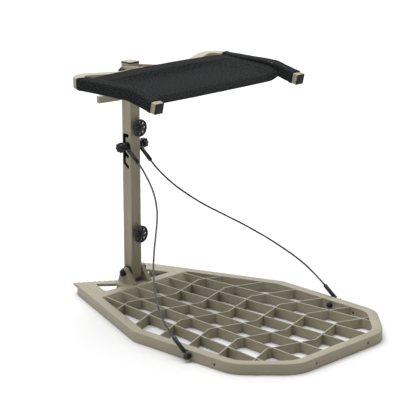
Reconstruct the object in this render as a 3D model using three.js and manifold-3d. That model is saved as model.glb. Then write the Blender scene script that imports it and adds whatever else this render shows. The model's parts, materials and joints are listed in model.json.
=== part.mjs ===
// Hang-on tree stand: cast platform, folding post, flip-up sling seat, two support cables.
// Millimetres, +Z up. The stand rests on its platform at z = 0. X is across the stand,
// -Y is forward (away from the tree) and +Y is the tree side. Left is -X.
import * as THREE from 'three';
import Module from 'manifold-3d';
import { mergeVertices } from 'three/addons/utils/BufferGeometryUtils.js';

// ---------------------------------------------------------------- driving dimensions
const GAP = 0.3;                      // clearance between touching pieces
const SIDES = [[-1, 'left'], [1, 'right']];

// platform casting
const BEAM_H = 25.4;                  // height of the perimeter beam
const BEAM_W = 24;                    // width of the perimeter beam
const FRONT_Y = -394;
const CHAMFER = [148, 251, -288];     // x at the front edge, x and y where the chamfer ends
const WIDEST = [259.5, 20];           // x and y of the widest corner
const TIP = [128, 368];               // rear end of each side beam
const CROSS_Y = [255, 281];           // cross-beam, front and rear of its top
const RAMP_FOOT_Y = 232;              // foot of the cross-beam's sloping front face
const BOSS = [[49, 270], [49, 308], [27, 327]]; // half outline of the block under the post
const ACCESSORY_HOLES = { radius: 3.3, side: [-235, 11], front: [90, 12] };
const RIB_T = 3.4;
const RIB_Z = [0.8, 24.6];
const RIB_REAR_X = [28.6, 81.1, 133.7];
const RIB_FRONT_X = [39.6, 113, 190];
const RIB_FRONT_Y = -360;
const ZIGZAG_FIRST_Y = 147.6;         // valley of the rearmost zigzag rib
const ZIGZAG_PITCH = 92;
const ZIGZAG_COUNT = 6;
const ZIGZAG = [[0, 0], [122.5, 38.5], [250, -10.6]]; // half of one zigzag rib

// toothed rear plate
const PLATE_T = 7;
const TOOTH_TIP = [119, 394];
const TOOTH_STEP = [-11, -7.6];
const TOOTH_VALLEY = [-2.4, -9.2];
const TOOTH_COUNT = 10;
const WINDOW = [[111, 280], [87, 343], [49 - GAP, 308], [49 - GAP, 280]];

// post and its pivot
const POST_Y = 299.5;
const POST = 32;
const POST_WALL = 2.5;
const POST_Z = [37, 585];
const CAP_T = 3.2;
const FOLD_Z = 52;
const WASHER_X = 16.3;                // inner face of every washer beside the post
const EAR_X = [19.3, 31.9];
const EAR_R = 12;
const EAR_BASE_Y = [263, 320];
const FOLD_BOLT_D = 10;

// levelling slot, bolt and knobs
const BOLT_D = 8;
const SLOT_W = 9.2;
const SLOT_Y = 307.4;
const NOTCH_Y = 296;
const NOTCH_Z = [325.2, 351.6, 378, 404];
const NOTCH_RISE = 9.1;
const BOLT_Z = NOTCH_Z[2];
const KNOB = { x: [31.6, 46.2], radius: 11.8, lobe: 1.2, lobes: 7, bore: 4.3 };
const HUB = { x: [24, 31.3], radius: [10, 8] };
const LEVEL_BOLT_END = 42.5;

// support cables
const CABLE_D = 5;
const SLEEVE_D = 10;
const EYE_X = [19.1, 23.7];
const UPPER_DIR = new THREE.Vector3(0, -0.783, -0.622);   // cable leaving the levelling bolt
const LOWER_DIR = new THREE.Vector3(0, 0.804, 0.595);     // cable leaving the anchor bolt
const SLEEVE_SPAN = [12, 56];                             // along the cable from the bolt
const ANCHOR = { y: -161, z: 13.5, x: [259.1, 263.7] };
const CABLE_ROUTE = [
  [22, 236, 330], [25.5, 220, 317], [30, 203, 304], [37, 185, 290], [46, 168, 277.5],
  [57, 152, 265], [72, 133, 250], [90, 115, 235.5], [110, 97, 221], [131, 78.5, 206],
  [151, 61, 191.5], [171, 42.5, 175.5], [190, 23.5, 159.5], [207, 4.5, 143.5],
  [222.5, -14.5, 127.5], [236.5, -34.5, 111], [248.5, -57, 93], [257, -80, 73.5],
];

// strap buttons, tree bracket
const BUTTON_Z = [153.6, 426];
const BUTTON = { y: [265, 271], radius: 22, holes: 8, holeRing: 15.2, holeRadius: 3.2 };
const BRACKET = { half: 81, z: [491, 509], depth: 12, sweep: 8, boltZ: 500 };

// seat
const SEAT_PIVOT_Z = 567;
const ARM_X = 235;
const ARM = 25.4;
const ARM_WALL = 2;
const ARM_Z = 578.8;                  // centre of the level part of the arms
const ARM_BEND_Y = 41;
const ARM_END = [-46, 558.3];         // y and z of the centre of the front end
const BOW_CORNER = [235, 260];
const BOW_KNEE = [120, 200];
const BOW_CENTRE_Y = 182;
const LUG_X = [19.5, 26];
const LUG_R = 12;
const SLEEVE_Y = [-34, 208];          // cloth sleeve along the arm
const CLOTH = 2;
const SLING_TOP = [                   // y, z of the top of the sling, rear to front
  [200, 594.6], [158, 594.2], [138, 586], [110, 580.5], [60, 576.5], [34, 574.5],
  [20, 570], [10, 563.5], [5, 559],
];

const { PI } = Math;
const wasm = await Module();
wasm.setup();

// ---------------------------------------------------------------- materials
const paint = () => new THREE.MeshStandardMaterial({ color: 0x938b77, roughness: 0.55, metalness: 0.1 });
const black = () => new THREE.MeshStandardMaterial({ color: 0x17181a, roughness: 0.45, metalness: 0.2 });
const steel = () => new THREE.MeshStandardMaterial({ color: 0x1f2022, roughness: 0.35, metalness: 0.8 });
const rope = () => new THREE.MeshStandardMaterial({ color: 0x5b6066, roughness: 0.4, metalness: 0.5 });
const cloth = () => new THREE.MeshStandardMaterial({ color: 0x37393a, roughness: 0.95, metalness: 0 });
const plastic = () => new THREE.MeshStandardMaterial({ color: 0x3a3c3e, roughness: 0.6, metalness: 0 });

const part = new THREE.Group();
part.name = 'tree_stand';

// ---------------------------------------------------------------- helpers
function solid(geometry) {
  const bare = geometry.clone();
  bare.deleteAttribute('normal');
  bare.deleteAttribute('uv');
  const merged = mergeVertices(bare, 1e-4);
  return new wasm.Manifold(new wasm.Mesh({
    numProp: 3,
    vertProperties: new Float32Array(merged.attributes.position.array),
    triVerts: new Uint32Array(merged.index.array),
  }));
}

function geometryOf(manifold) {
  const { numProp, vertProperties, triVerts } = manifold.getMesh();
  if (numProp !== 3) throw new Error('unexpected vertex layout');
  const geometry = new THREE.BufferGeometry();
  geometry.setAttribute('position', new THREE.BufferAttribute(new Float32Array(vertProperties), 3));
  geometry.setIndex(new THREE.BufferAttribute(new Uint32Array(triVerts), 1));
  return geometry;
}

const union = (...items) => items.slice(1).reduce((sum, item) => sum.add(item), items[0]);
const cut = (base, ...items) => items.reduce((rest, item) => rest.subtract(item), base);

function add(name, shape, material, parent = part) {
  const geometry = shape.isBufferGeometry ? shape : geometryOf(shape);
  const mesh = new THREE.Mesh(geometry, material);
  mesh.name = name;
  parent.add(mesh);
  return mesh;
}

function block(x, y, z) {
  return new THREE.BoxGeometry(x[1] - x[0], y[1] - y[0], z[1] - z[0])
    .translate((x[0] + x[1]) / 2, (y[0] + y[1]) / 2, (z[0] + z[1]) / 2);
}

function shapeOf(points) {
  return new THREE.Shape(points.map(([a, b]) => new THREE.Vector2(a, b)));
}

function extrude(shape, depth) {
  return new THREE.ExtrudeGeometry(shape, { depth, bevelEnabled: false, curveSegments: 6 });
}

// outline in the plan (x, y), between two heights
function slab(outline, z) {
  return extrude(shapeOf(outline), z[1] - z[0]).translate(0, 0, z[0]);
}

// outline in the side view (y, z), between two x values
const sideView = new THREE.Matrix4().makeBasis(
  new THREE.Vector3(0, 1, 0), new THREE.Vector3(0, 0, 1), new THREE.Vector3(1, 0, 0));
function cheek(outline, x) {
  return extrude(shapeOf(outline), x[1] - x[0]).applyMatrix4(sideView).translate(x[0], 0, 0);
}

// round bar or disc along an axis, with its ends at two places on that axis
function bar(axis, radius, span, centre, sides = 20) {
  const geometry = new THREE.CylinderGeometry(radius, radius, span[1] - span[0], sides);
  const middle = (span[0] + span[1]) / 2;
  if (axis === 'x') return geometry.rotateZ(-PI / 2).translate(middle, centre[0], centre[1]);
  if (axis === 'y') return geometry.translate(centre[0], middle, centre[1]);
  return geometry.rotateX(PI / 2).translate(centre[0], centre[1], middle);
}

const hexBar = (axis, across, span, centre) => bar(axis, across / Math.sqrt(3), span, centre, 6);

// straight slot with round ends between two points of the side view
function slot(from, to, width, x) {
  const angle = Math.atan2(to[1] - from[1], to[0] - from[0]);
  const outline = [];
  for (const [centre, start] of [[to, -PI / 2], [from, PI / 2]]) {
    for (let i = 0; i <= 6; i += 1) {
      const turn = angle + start + (PI * i) / 6;
      outline.push([centre[0] + (width / 2) * Math.cos(turn), centre[1] + (width / 2) * Math.sin(turn)]);
    }
  }
  return cheek(outline, x);
}

// polygon whose corners [x, y, radius] are rounded with arcs
function rounded(corners, steps = 5) {
  const outline = [];
  corners.forEach(([x, y, radius = 0], i) => {
    const here = new THREE.Vector2(x, y);
    const before = new THREE.Vector2(...corners.at(i - 1).slice(0, 2)).sub(here).normalize();
    const after = new THREE.Vector2(...corners[(i + 1) % corners.length].slice(0, 2)).sub(here).normalize();
    if (radius === 0) {
      outline.push([x, y]);
      return;
    }
    const half = Math.acos(before.dot(after)) / 2;
    const centre = before.clone().add(after).setLength(radius / Math.sin(half)).add(here);
    const start = before.multiplyScalar(radius / Math.tan(half)).add(here).sub(centre);
    const end = after.multiplyScalar(radius / Math.tan(half)).add(here).sub(centre);
    const sweep = Math.atan2(start.x * end.y - start.y * end.x, start.dot(end));
    for (let k = 0; k <= steps; k += 1) {
      const point = start.clone().rotateAround(new THREE.Vector2(), (sweep * k) / steps).add(centre);
      outline.push([point.x, point.y]);
    }
  });
  return outline;
}

// convex polygon of [x, y] corners with every side moved inwards
function inset(corners, distance) {
  const lines = corners.map((corner, i) => {
    const next = corners[(i + 1) % corners.length];
    const along = new THREE.Vector2(next[0] - corner[0], next[1] - corner[1]).normalize();
    return { point: [corner[0] - along.y * distance, corner[1] + along.x * distance], along };
  });
  return lines.map((line, i) => {
    const last = lines.at(i - 1);
    const dx = line.point[0] - last.point[0];
    const dy = line.point[1] - last.point[1];
    const t = (dx * line.along.y - dy * line.along.x) / (last.along.x * line.along.y - last.along.y * line.along.x);
    return [last.point[0] + last.along.x * t, last.point[1] + last.along.y * t];
  });
}

const mirrored = (half) => [...half, ...half.map(([x, y, ...rest]) => [-x, y, ...rest]).reverse()];

// band of constant width and height that follows a polyline in the plan
function band(path, width, z) {
  const sides = [-1, 1].map((side) => path.map((point, i) => {
    const a = path[Math.max(i - 1, 0)];
    const b = path[Math.min(i + 1, path.length - 1)];
    const before = new THREE.Vector2(point[0] - a[0], point[1] - a[1]).normalize();
    const after = new THREE.Vector2(b[0] - point[0], b[1] - point[1]).normalize();
    const along = before.clone().add(after).normalize();
    const reach = width / 2 / Math.max(0.5, along.dot(i === 0 ? after : before));
    return [point[0] - side * along.y * reach, point[1] + side * along.x * reach];
  }));
  return slab([...sides[0], ...sides[1].reverse()], z);
}

// open polyline with rounded inner corners: [x, y, radius]
function fairPath(corners, steps = 5) {
  const closed = rounded(corners.map((c, i) => (i === 0 || i === corners.length - 1 ? [c[0], c[1]] : c)), steps);
  return closed;
}

// ---------------------------------------------------------------- platform casting
const [frontX, chamferX, chamferY] = CHAMFER;
const planCorners = mirrored([[...WIDEST], [...TIP]]).concat([
  [-chamferX, chamferY], [-frontX, FRONT_Y], [frontX, FRONT_Y], [chamferX, chamferY]]);
const cornerRadius = [30, 0, 0, 30, 80, 80, 80, 80];
const withRadii = (corners, shrink) => corners.map(([x, y], i) => [x, y, Math.max(cornerRadius[i] - shrink, 0)]);
const openRear = (corners, beyond) => corners.map(([x, y], i) => {
  if (i !== 1 && i !== 2) return [x, y];
  const wide = corners[i === 1 ? 0 : 3];
  const scale = (TIP[1] + beyond - wide[1]) / (y - wide[1]);
  return [wide[0] + (x - wide[0]) * scale, TIP[1] + beyond];
});
const insideOf = (distance) => rounded(withRadii(openRear(inset(planCorners, distance), 80), distance));
const toothSlope = TOOTH_STEP[1] / TOOTH_STEP[0];
const behindBeamEnds = (shift) => [
  [0, TIP[1] - TIP[0] * toothSlope + shift], [400, TIP[1] + (400 - TIP[0]) * toothSlope + shift],
  [400, 700], [-400, 700], [-400, TIP[1] + (400 - TIP[0]) * toothSlope + shift]];
const bossOutline = (grow) => mirrored(BOSS.map(([x, y]) => [x + grow, y + grow]));

function earProfile() {
  const outline = [[EAR_BASE_Y[1], BEAM_H - 5], [EAR_BASE_Y[1], BEAM_H + 4]];
  for (let i = 0; i <= 10; i += 1) {
    const turn = 0.45 + ((PI - 0.85) * i) / 10;
    outline.push([POST_Y + EAR_R * Math.cos(turn), FOLD_Z + EAR_R * Math.sin(turn)]);
  }
  outline.push([EAR_BASE_Y[0], BEAM_H + 1], [EAR_BASE_Y[0], BEAM_H - 5]);
  return outline;
}

const rim = cut(
  solid(slab(rounded(withRadii(planCorners, 0)), [0, BEAM_H])),
  solid(slab(insideOf(BEAM_W), [-1, BEAM_H + 1])),
  solid(slab(behindBeamEnds(0), [-1, BEAM_H + 1])));
const crossBeam = solid(cheek([
  [RAMP_FOOT_Y, 0], [CROSS_Y[1], 0], [CROSS_Y[1], BEAM_H], [CROSS_Y[0], BEAM_H]], [-400, 400]))
  .intersect(solid(slab(rounded(withRadii(planCorners, 0)), [-1, BEAM_H + 1])));
const boss = solid(slab(bossOutline(0), [0, BEAM_H]));
const ears = SIDES.map(([side]) => solid(cheek(earProfile(), side < 0 ? [-EAR_X[1], -EAR_X[0]] : EAR_X)));
const earHole = solid(bar('x', FOLD_BOLT_D / 2 + GAP, [-50, 50], [POST_Y, FOLD_Z], 24));
const anchorHoles = SIDES.map(([side]) => solid(
  bar('x', BOLT_D / 2 + GAP, [side * 245 - 20, side * 245 + 20], [ANCHOR.y, ANCHOR.z])));
const sideHoles = SIDES.map(([side]) => solid(
  bar('x', ACCESSORY_HOLES.radius, [side * 245 - 25, side * 245 + 25], ACCESSORY_HOLES.side, 12)));
const frontHoles = SIDES.map(([side]) => solid(
  bar('y', ACCESSORY_HOLES.radius, [FRONT_Y - 5, FRONT_Y + 30], [side * ACCESSORY_HOLES.front[0], ACCESSORY_HOLES.front[1]], 12)));
add('platform_frame', cut(
  union(rim, crossBeam, boss, ...ears), earHole, ...anchorHoles, ...sideHoles, ...frontHoles), paint());

function ribs() {
  const pieces = [];
  RIB_REAR_X.forEach((rearX, i) => {
    for (const [side] of SIDES) {
      const path = [[side * RIB_FRONT_X[i], RIB_FRONT_Y], [side * rearX, CROSS_Y[0]]];
      const grown = [[path[0][0] + (path[0][0] - path[1][0]) * 0.1, RIB_FRONT_Y - 61.5], path[1]];
      pieces.push(solid(band(grown, RIB_T, RIB_Z)));
    }
  });
  for (let i = 0; i < ZIGZAG_COUNT; i += 1) {
    const y = ZIGZAG_FIRST_Y - i * ZIGZAG_PITCH;
    const path = fairPath([
      [-ZIGZAG[2][0], y + ZIGZAG[2][1]], [-ZIGZAG[1][0], y + ZIGZAG[1][1], 22], [0, y, 22],
      [ZIGZAG[1][0], y + ZIGZAG[1][1], 22], [ZIGZAG[2][0], y + ZIGZAG[2][1]]], 4);
    pieces.push(solid(band(path, RIB_T, RIB_Z)));
  }
  const lean = (CROSS_Y[0] - RAMP_FOOT_Y) / BEAM_H;
  const ramp = (z) => [RAMP_FOOT_Y - 1.5 * GAP + lean * z, z];
  const inside = solid(slab(insideOf(BEAM_W + GAP), [-1, BEAM_H + 1])).subtract(
    solid(cheek([ramp(-2), [600, -2], [600, BEAM_H + 2], ramp(BEAM_H + 2)], [-400, 400])));
  return union(...pieces).intersect(inside);
}
add('platform_ribs', ribs(), paint());

// ---------------------------------------------------------------- toothed rear plates
function toothedEdge() {
  const points = [];
  for (let i = 0; i < TOOTH_COUNT; i += 1) {
    const x = TOOTH_TIP[0] + i * TOOTH_STEP[0];
    const y = TOOTH_TIP[1] + i * TOOTH_STEP[1];
    points.push([x, y], [x + TOOTH_VALLEY[0], y + TOOTH_VALLEY[1]]);
  }
  return points;
}

function rearPlate(side) {
  const tall = [-1, BEAM_H + 1];
  const outer = [[10, CROSS_Y[1] + GAP], [161, CROSS_Y[1] + GAP], ...toothedEdge(), [10, 320]];
  const handed = (outline) => (side > 0 ? outline : outline.map(([x, y]) => [-x, y]).reverse());
  const beams = cut(
    solid(slab(rounded(withRadii(openRear(inset(planCorners, -20), 80), 0)), tall)),
    solid(slab(insideOf(BEAM_W + GAP), [-2, BEAM_H + 2])),
    solid(slab(behindBeamEnds(GAP), [-2, BEAM_H + 2])));
  return cut(
    solid(slab(handed(outer), [BEAM_H - PLATE_T, BEAM_H])), beams,
    solid(slab(bossOutline(GAP), tall)), solid(slab(handed(WINDOW), tall)));
}
for (const [side, name] of SIDES) add(`${name}_tooth_plate`, rearPlate(side), paint());

// ---------------------------------------------------------------- fold pivot
const foldCentre = [POST_Y, FOLD_Z];
add('fold_bolt', union(
  solid(bar('x', FOLD_BOLT_D / 2, [-41, 33], foldCentre)),
  solid(hexBar('x', 16, [EAR_X[1] + GAP, 39], foldCentre))), steel());
add('fold_nut', cut(
  solid(hexBar('x', 16, [-39, -EAR_X[1] - GAP], foldCentre)),
  solid(bar('x', FOLD_BOLT_D / 2 + GAP, [-60, 0], foldCentre))), steel());
for (const [side, name] of SIDES) {
  const span = [WASHER_X, WASHER_X + 2.7].map((x) => side * x).sort((a, b) => a - b);
  add(`${name}_fold_washer`, cut(
    solid(bar('x', 15.5, span, foldCentre, 28)),
    solid(bar('x', FOLD_BOLT_D / 2 + GAP, [-60, 60], foldCentre))), black());
}

// ---------------------------------------------------------------- post
function post() {
  const half = POST / 2;
  const square = (h, radius) => rounded([
    [-h, POST_Y - h, radius], [h, POST_Y - h, radius], [h, POST_Y + h, radius], [-h, POST_Y + h, radius]], 3);
  const acrossX = [-half - 5, half + 5];
  const slots = [slot([SLOT_Y, NOTCH_Z[0] + NOTCH_RISE], [SLOT_Y, NOTCH_Z[3]], SLOT_W, acrossX)];
  NOTCH_Z.forEach((z, i) => {
    const rise = i === NOTCH_Z.length - 1 ? 0 : NOTCH_RISE;
    slots.push(slot([NOTCH_Y, z], [SLOT_Y, z + rise], SLOT_W, acrossX));
  });
  const holes = [
    bar('x', FOLD_BOLT_D / 2 + GAP, acrossX, foldCentre),
    bar('x', FOLD_BOLT_D / 2 + GAP, acrossX, [POST_Y, SEAT_PIVOT_Z]),
    bar('y', BOLT_D / 2 + GAP, [POST_Y - 30, POST_Y + 30], [0, BRACKET.boltZ]),
    ...BUTTON_Z.map((z) => bar('y', BOLT_D / 2 + GAP, [POST_Y - 30, POST_Y], [0, z]))];
  return cut(
    solid(slab(square(half, 2), POST_Z)),
    solid(slab(square(half - POST_WALL, 1), [POST_Z[0] - 1, POST_Z[1] + 1])),
    ...slots.map(solid), ...holes.map(solid));
}
add('post_tube', post(), paint());
const capHalf = POST / 2;
const plugHalf = POST / 2 - POST_WALL - 0.8;
const around = (half) => [[-half, half], [POST_Y - half, POST_Y + half]];
add('post_cap', union(
  solid(block(...around(capHalf), [POST_Z[1] + GAP, POST_Z[1] + CAP_T])),
  solid(block(...around(plugHalf), [POST_Z[1] - 8, POST_Z[1] + 1]))), black());
add('cap_plate', block(...around(capHalf - 0.8), [POST_Z[1] + CAP_T + GAP, POST_Z[1] + CAP_T + GAP + 0.8]), paint());

// ---------------------------------------------------------------- strap buttons
BUTTON_Z.forEach((z, i) => {
  const name = ['lower', 'upper'][i];
  const stud = [0, z];
  const holes = Array.from({ length: BUTTON.holes }, (_, k) => {
    const turn = (2 * PI * (k + 0.5)) / BUTTON.holes;
    const centre = [BUTTON.holeRing * Math.cos(turn), z + BUTTON.holeRing * Math.sin(turn)];
    return solid(bar('y', BUTTON.holeRadius, [BUTTON.y[0] - 1, BUTTON.y[1] + 1], centre, 8));
  });
  add(`${name}_strap_button`, cut(
    solid(bar('y', BUTTON.radius, BUTTON.y, stud, 32)),
    solid(bar('y', BOLT_D / 2 + GAP, [200, 400], stud)), ...holes), black());
  add(`${name}_button_spacer`, cut(
    solid(bar('y', 8, [BUTTON.y[1] + GAP, POST_Y - POST / 2 - GAP], stud)),
    solid(bar('y', BOLT_D / 2 + GAP, [200, 400], stud))), black());
  add(`${name}_button_screw`, union(
    solid(bar('y', 6.5, [BUTTON.y[0] - 3.5, BUTTON.y[0] - GAP], stud)),
    solid(bar('y', BOLT_D / 2, [BUTTON.y[0] - 1, POST_Y - 6], stud))), steel());
});

// ---------------------------------------------------------------- upper tree bracket
const postRear = POST_Y + POST / 2 + GAP;
add('tree_bracket', cut(
  solid(band(fairPath([
    [-BRACKET.half, postRear + BRACKET.depth / 2 + BRACKET.sweep],
    [-24, postRear + BRACKET.depth / 2, 60], [24, postRear + BRACKET.depth / 2, 60],
    [BRACKET.half, postRear + BRACKET.depth / 2 + BRACKET.sweep]], 4), BRACKET.depth, BRACKET.z)),
  solid(bar('y', BOLT_D / 2 + GAP, [300, 400], [0, BRACKET.boltZ])),
  solid(bar('y', 7.6, [postRear + BRACKET.depth - 5, 400], [0, BRACKET.boltZ]))), paint());
add('bracket_bolt', union(
  solid(bar('y', BOLT_D / 2, [POST_Y - POST / 2 - 6, postRear + 8.5], [0, BRACKET.boltZ])),
  solid(hexBar('y', 13, [POST_Y - POST / 2 - 6, POST_Y - POST / 2 - GAP], [0, BRACKET.boltZ])),
), steel());
add('bracket_nut', cut(
  solid(hexBar('y', 12.6, [postRear + 7 + GAP, postRear + 11.5], [0, BRACKET.boltZ])),
  solid(bar('y', BOLT_D / 2 + GAP, [300, 400], [0, BRACKET.boltZ]))), steel());

// ---------------------------------------------------------------- levelling bolt and star knobs
const boltCentre = [NOTCH_Y, BOLT_Z];
add('levelling_bolt', bar('x', BOLT_D / 2, [-LEVEL_BOLT_END, LEVEL_BOLT_END], boltCentre), steel());

function starKnob(side) {
  const outline = [];
  const points = KNOB.lobes * 8;
  for (let i = 0; i < points; i += 1) {
    const turn = (2 * PI * i) / points;
    const radius = KNOB.radius + KNOB.lobe * Math.cos(KNOB.lobes * turn);
    outline.push([NOTCH_Y + radius * Math.cos(turn), BOLT_Z + radius * Math.sin(turn)]);
  }
  const span = side < 0 ? [-KNOB.x[1], -KNOB.x[0]] : KNOB.x;
  const bore = side < 0 ? [-LEVEL_BOLT_END - 1, 0] : [0, LEVEL_BOLT_END + 1];
  return cut(solid(cheek(outline, span)), solid(bar('x', KNOB.bore, bore, boltCentre)));
}

for (const [side, name] of SIDES) {
  const spanOf = (near, far) => (side < 0 ? [-far, -near] : [near, far]);
  const bore = solid(bar('x', BOLT_D / 2 + GAP, [-60, 60], boltCentre));
  add(`${name}_star_knob`, starKnob(side), black());
  const cone = new THREE.CylinderGeometry(HUB.radius[1], HUB.radius[0], HUB.x[1] - HUB.x[0], 24)
    .rotateZ((-side * PI) / 2).translate((side * (HUB.x[0] + HUB.x[1])) / 2, ...boltCentre);
  add(`${name}_knob_hub`, cut(solid(cone), bore), black());
  add(`${name}_slot_washer`, cut(
    solid(bar('x', 11, spanOf(WASHER_X, EYE_X[0] - GAP), boltCentre, 24)), bore), black());
}

// ---------------------------------------------------------------- support cables
// crimped eye on a bolt: a ring and a shank along the cable's direction
function eye(xSpan, centre, direction) {
  const x = (xSpan[0] + xSpan[1]) / 2;
  const ring = solid(bar('x', 7.5, xSpan, centre, 24));
  const shank = new THREE.CylinderGeometry(2, 2, SLEEVE_SPAN[0] - 5 - GAP, 12)
    .applyQuaternion(new THREE.Quaternion().setFromUnitVectors(new THREE.Vector3(0, 1, 0), direction))
    .translate(x, ...along(centre, direction, (5 + SLEEVE_SPAN[0] - GAP) / 2));
  return cut(union(ring, solid(shank)), solid(bar('x', BOLT_D / 2 + GAP, [-400, 400], centre)));
}

function along(centre, direction, distance) {
  return [centre[0] + direction.y * distance, centre[1] + direction.z * distance];
}

function sleeve(x, centre, direction) {
  const length = SLEEVE_SPAN[1] - SLEEVE_SPAN[0];
  return new THREE.CylinderGeometry(SLEEVE_D / 2, SLEEVE_D / 2, length, 16)
    .applyQuaternion(new THREE.Quaternion().setFromUnitVectors(new THREE.Vector3(0, 1, 0), direction))
    .translate(x, ...along(centre, direction, SLEEVE_SPAN[0] + length / 2));
}

function cable(side) {
  const clear = SLEEVE_SPAN[1] + GAP;
  const upperX = (EYE_X[0] + EYE_X[1]) / 2;
  const lowerX = (ANCHOR.x[0] + ANCHOR.x[1]) / 2;
  const lowerCentre = [ANCHOR.y, ANCHOR.z];
  const points = [
    [upperX, ...along(boltCentre, UPPER_DIR, clear)], [upperX, ...along(boltCentre, UPPER_DIR, clear + 8)],
    ...CABLE_ROUTE,
    [lowerX, ...along(lowerCentre, LOWER_DIR, clear + 8)], [lowerX, ...along(lowerCentre, LOWER_DIR, clear)],
  ].map(([x, y, z]) => new THREE.Vector3(side * x, y, z));
  const section = shapeOf(Array.from({ length: 8 }, (_, i) => [
    (CABLE_D / 2) * Math.cos((PI * i) / 4), (CABLE_D / 2) * Math.sin((PI * i) / 4)]));
  const path = new THREE.CatmullRomCurve3(points, false, 'centripetal');
  return new THREE.ExtrudeGeometry(section, { steps: 52, extrudePath: path, bevelEnabled: false });
}

for (const [side, name] of SIDES) {
  const flip = (span) => (side < 0 ? [-span[1], -span[0]] : span);
  const upperX = side * (EYE_X[0] + EYE_X[1]) / 2;
  const lowerX = side * (ANCHOR.x[0] + ANCHOR.x[1]) / 2;
  const lowerCentre = [ANCHOR.y, ANCHOR.z];
  add(`${name}_upper_eye`, eye(flip(EYE_X), boltCentre, UPPER_DIR), steel());
  add(`${name}_upper_sleeve`, sleeve(upperX, boltCentre, UPPER_DIR), black());
  add(`${name}_cable`, cable(side), rope());
  add(`${name}_lower_sleeve`, sleeve(lowerX, lowerCentre, LOWER_DIR), black());
  add(`${name}_lower_eye`, eye(flip(ANCHOR.x), lowerCentre, LOWER_DIR), steel());
  add(`${name}_anchor_bolt`, union(
    solid(bar('x', BOLT_D / 2, flip([220, 267]), lowerCentre)),
    solid(hexBar('x', 13, flip([ANCHOR.x[1] + GAP, 269.6]), lowerCentre))), steel());
  add(`${name}_anchor_nut`, cut(
    solid(hexBar('x', 13, flip([223, 229.8]), lowerCentre)),
    solid(bar('x', BOLT_D / 2 + GAP, flip([200, 300]), lowerCentre))), steel());
}

// ---------------------------------------------------------------- seat pivot
const seatCentre = [POST_Y, SEAT_PIVOT_Z];
add('seat_bolt', union(
  solid(bar('x', FOLD_BOLT_D / 2, [-35, 28], seatCentre)),
  solid(hexBar('x', 16, [LUG_X[1] + GAP, 33], seatCentre))), steel());
add('seat_nut', cut(
  solid(hexBar('x', 16, [-33, -LUG_X[1] - GAP], seatCentre)),
  solid(bar('x', FOLD_BOLT_D / 2 + GAP, [-60, 0], seatCentre))), steel());
for (const [side, name] of SIDES) {
  const span = [WASHER_X, LUG_X[0] - GAP].map((x) => side * x).sort((a, b) => a - b);
  add(`${name}_seat_washer`, cut(
    solid(bar('x', 13, span, seatCentre, 28)),
    solid(bar('x', FOLD_BOLT_D / 2 + GAP, [-60, 60], seatCentre))), black());
}

// ---------------------------------------------------------------- seat frame and its bracket
const armSlope = Math.atan2(ARM_Z - ARM_END[1], ARM_BEND_Y - ARM_END[0]);

// side view of an arm: level at the rear, sloping down in front of the bend
function armProfile(height, frontExtra, rearY) {
  const shift = (height / 2) * Math.tan(armSlope / 2);
  const half = height / 2;
  const end = [ARM_END[0] - frontExtra * Math.cos(armSlope), ARM_END[1] - frontExtra * Math.sin(armSlope)];
  const normal = [-Math.sin(armSlope) * half, Math.cos(armSlope) * half];
  return [
    [rearY, ARM_Z - half], [rearY, ARM_Z + half], [ARM_BEND_Y - shift, ARM_Z + half],
    [end[0] + normal[0], end[1] + normal[1]], [end[0] - normal[0], end[1] - normal[1]],
    [ARM_BEND_Y + shift, ARM_Z - half]].reverse();
}

function frameTube(size, frontExtra) {
  const bow = fairPath([
    [-ARM_X, 150], [-BOW_CORNER[0], BOW_CORNER[1], 30], [-BOW_KNEE[0], BOW_KNEE[1], 110],
    [0, BOW_CENTRE_Y, 60], [BOW_KNEE[0], BOW_KNEE[1], 110], [BOW_CORNER[0], BOW_CORNER[1], 30], [ARM_X, 150]], 6);
  const arms = SIDES.map(([side]) => solid(cheek(armProfile(size, frontExtra, 152), [
    side * ARM_X - size / 2, side * ARM_X + size / 2])));
  return union(solid(band(bow, size, [ARM_Z - size / 2, ARM_Z + size / 2])), ...arms);
}
add('seat_frame', frameTube(ARM, 0).subtract(frameTube(ARM - 2 * ARM_WALL, 5)), paint());

function seatBracket() {
  const lug = [];
  for (let i = 0; i <= 8; i += 1) {
    const turn = -0.9 + ((PI / 2 + 0.9) * i) / 8;
    lug.push([POST_Y + LUG_R * Math.cos(turn), SEAT_PIVOT_Z + LUG_R * Math.sin(turn)]);
  }
  lug.push([184, 591], [184, 567], [258, 556], [268, 527], [290, 527]);
  const stopY = POST_Y - POST / 2 - GAP;
  const web = block([-LUG_X[0] - 1, LUG_X[0] + 1], [stopY - 8, stopY], [527, 545]);
  const pad = block([-LUG_X[1], LUG_X[1]], [184, 206], [567, 591]);
  const lugs = SIDES.map(([side]) => solid(cheek(lug, side < 0 ? [-LUG_X[1], -LUG_X[0]] : LUG_X)));
  return cut(
    union(...lugs, solid(web), solid(pad)), frameTube(ARM + 2 * GAP, 0),
    solid(bar('x', FOLD_BOLT_D / 2 + GAP, [-60, 60], seatCentre)));
}
add('seat_bracket', seatBracket(), paint());

for (const [side, name] of SIDES) {
  const place = new THREE.Group();
  place.position.set(side * ARM_X, ...ARM_END);
  place.rotation.x = armSlope;
  part.add(place);
  const plug = ARM / 2 - ARM_WALL - 0.4;
  const face = ARM / 2 - 0.2;
  add(`${name}_end_cap`, union(
    solid(block([-face, face], [-2.8, -GAP], [-face, face])),
    solid(block([-plug, plug], [-2, 10], [-plug, plug]))), plastic(), place);
}

// ---------------------------------------------------------------- seat cloth
const CLOTH_ROOM = ARM + 0.8;
const CLOTH_OUTSIDE = CLOTH_ROOM + 2 * CLOTH;

function clothTube(side, size, rearY) {
  const half = size / 2 + 0.3;
  return solid(cheek(armProfile(size, -GAP, rearY), [side * ARM_X - half, side * ARM_X + half]));
}

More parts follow.
